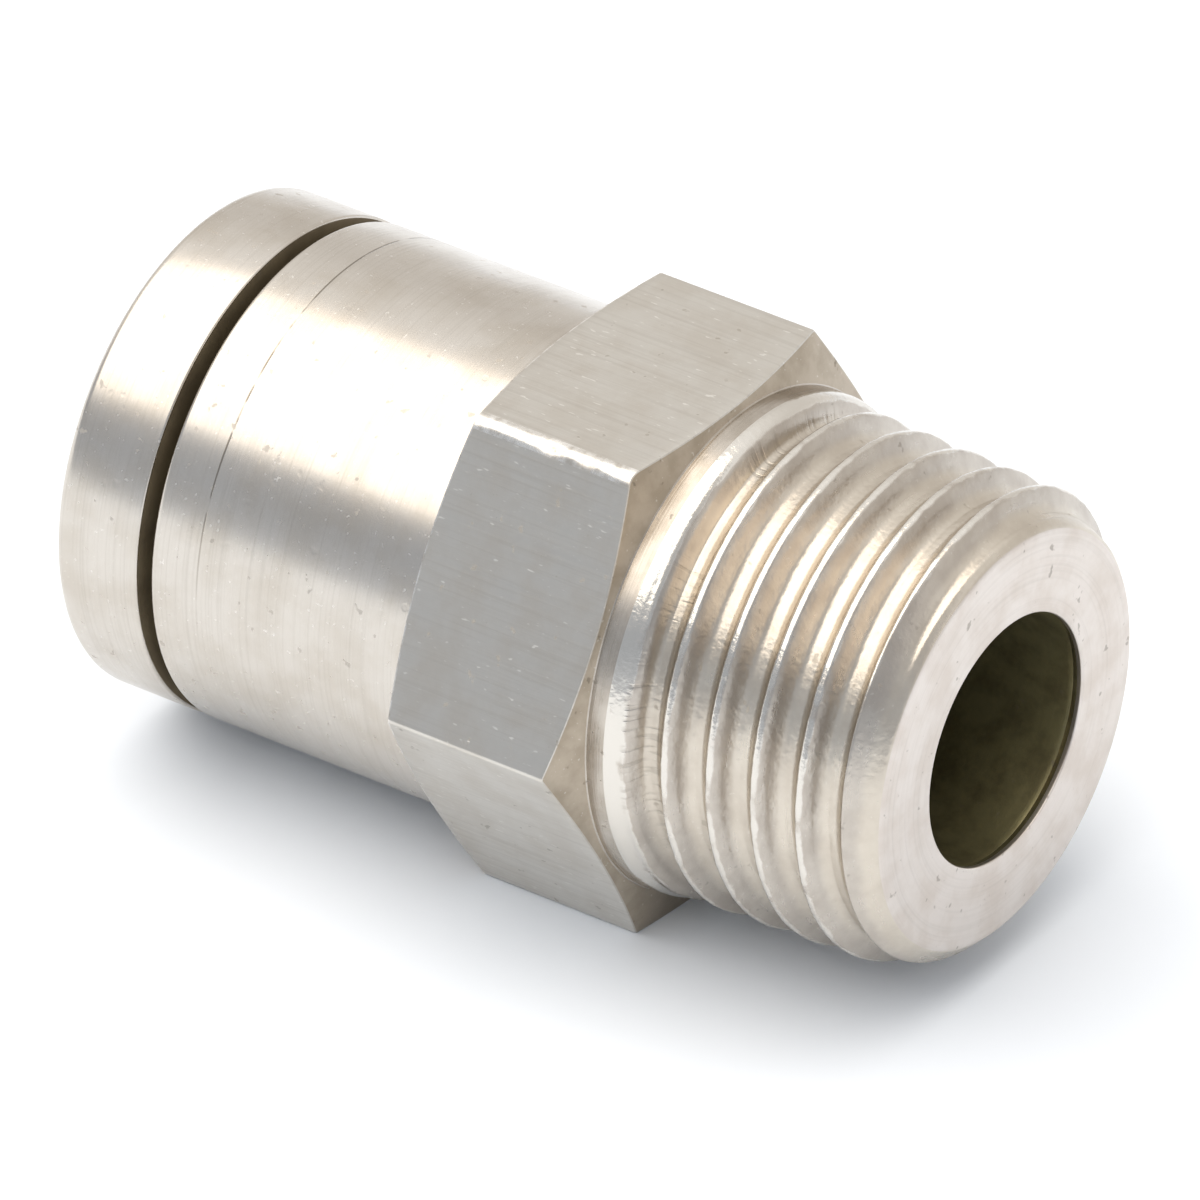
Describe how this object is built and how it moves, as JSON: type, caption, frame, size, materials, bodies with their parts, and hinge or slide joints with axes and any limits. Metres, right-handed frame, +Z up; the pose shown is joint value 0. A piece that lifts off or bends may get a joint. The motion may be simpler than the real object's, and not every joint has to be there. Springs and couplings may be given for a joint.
{
  "type": "push to connect fitting",
  "caption": "Straight push-in tube fitting: taper male pipe thread, hexagon, round barrel and a release button that frees the tube.",
  "frame": {"origin": "middle of the fitting's length, on the axis that the thread and the tube share", "axes": "+X along the axis out of the threaded end; +Z up, square to the hexagon flat that the fitting lies on; the tube goes in along +X from the -X end"},
  "size_m": [0.0248, 0.0162, 0.014],
  "materials": {
    "nickel_plated_brass": "nickel plated, satin as turned",
    "plain_brass": "bright turned",
    "spring_stainless": "stamped and rolled",
    "nitrile_rubber": "moulded, matt"
  },
  "bodies": {
    "housing": {"fitting_body": "nickel_plated_brass", "tube_seal": "nitrile_rubber", "seal_spacer": "plain_brass", "guide_bush": "nickel_plated_brass"},
    "chuck": {"chuck_band": "spring_stainless"},
    "button": {"release_button": "nickel_plated_brass", "collet": "plain_brass"},
    "claw_1": {"chuck_claw_1": "spring_stainless"},
    "claw_2": {"chuck_claw_2": "spring_stainless"},
    "claw_3": {"chuck_claw_3": "spring_stainless"},
    "claw_4": {"chuck_claw_4": "spring_stainless"},
    "claw_5": {"chuck_claw_5": "spring_stainless"},
    "claw_6": {"chuck_claw_6": "spring_stainless"},
    "claw_7": {"chuck_claw_7": "spring_stainless"},
    "claw_8": {"chuck_claw_8": "spring_stainless"}
  },
  "joints": [
    {"name": "grip_spin", "type": "hinge", "parent": "housing", "child": "chuck", "pos_m": [0, 0, 0], "axis": [1, 0, 0], "continuous": true},
    {"name": "button_press", "type": "slide", "parent": "chuck", "child": "button", "axis": [1, 0, 0], "range_m": [0, 0.00035], "stiffness_N_per_m": 3000, "springref_m": -0.0002},
    {"name": "claw_1_open", "type": "hinge", "parent": "chuck", "child": "claw_1", "pos_m": [-0.0053, 0.00518, 0], "axis": [0, 0, 1], "range_deg": [0, 14.2]},
    {"name": "claw_2_open", "type": "hinge", "parent": "chuck", "child": "claw_2", "pos_m": [-0.0053, 0.00366, 0.00366], "axis": [0, -0.7071, 0.7071], "range_deg": [0, 14.2]},
    {"name": "claw_3_open", "type": "hinge", "parent": "chuck", "child": "claw_3", "pos_m": [-0.0053, 0, 0.00518], "axis": [0, -1, 0], "range_deg": [0, 14.2]},
    {"name": "claw_4_open", "type": "hinge", "parent": "chuck", "child": "claw_4", "pos_m": [-0.0053, -0.00366, 0.00366], "axis": [0, -0.7071, -0.7071], "range_deg": [0, 14.2]},
    {"name": "claw_5_open", "type": "hinge", "parent": "chuck", "child": "claw_5", "pos_m": [-0.0053, -0.00518, 0], "axis": [0, 0, -1], "range_deg": [0, 14.2]},
    {"name": "claw_6_open", "type": "hinge", "parent": "chuck", "child": "claw_6", "pos_m": [-0.0053, -0.00366, -0.00366], "axis": [0, 0.7071, -0.7071], "range_deg": [0, 14.2]},
    {"name": "claw_7_open", "type": "hinge", "parent": "chuck", "child": "claw_7", "pos_m": [-0.0053, 0, -0.00518], "axis": [0, 1, 0], "range_deg": [0, 14.2]},
    {"name": "claw_8_open", "type": "hinge", "parent": "chuck", "child": "claw_8", "pos_m": [-0.0053, 0.00366, -0.00366], "axis": [0, 0.7071, 0.7071], "range_deg": [0, 14.2]}
  ],
  "couplings": [
    {"joint": "claw_1_open", "follows": "button_press", "rad_per_m": 700},
    {"joint": "claw_2_open", "follows": "button_press", "rad_per_m": 700},
    {"joint": "claw_3_open", "follows": "button_press", "rad_per_m": 700},
    {"joint": "claw_4_open", "follows": "button_press", "rad_per_m": 700},
    {"joint": "claw_5_open", "follows": "button_press", "rad_per_m": 700},
    {"joint": "claw_6_open", "follows": "button_press", "rad_per_m": 700},
    {"joint": "claw_7_open", "follows": "button_press", "rad_per_m": 700},
    {"joint": "claw_8_open", "follows": "button_press", "rad_per_m": 700}
  ]
}
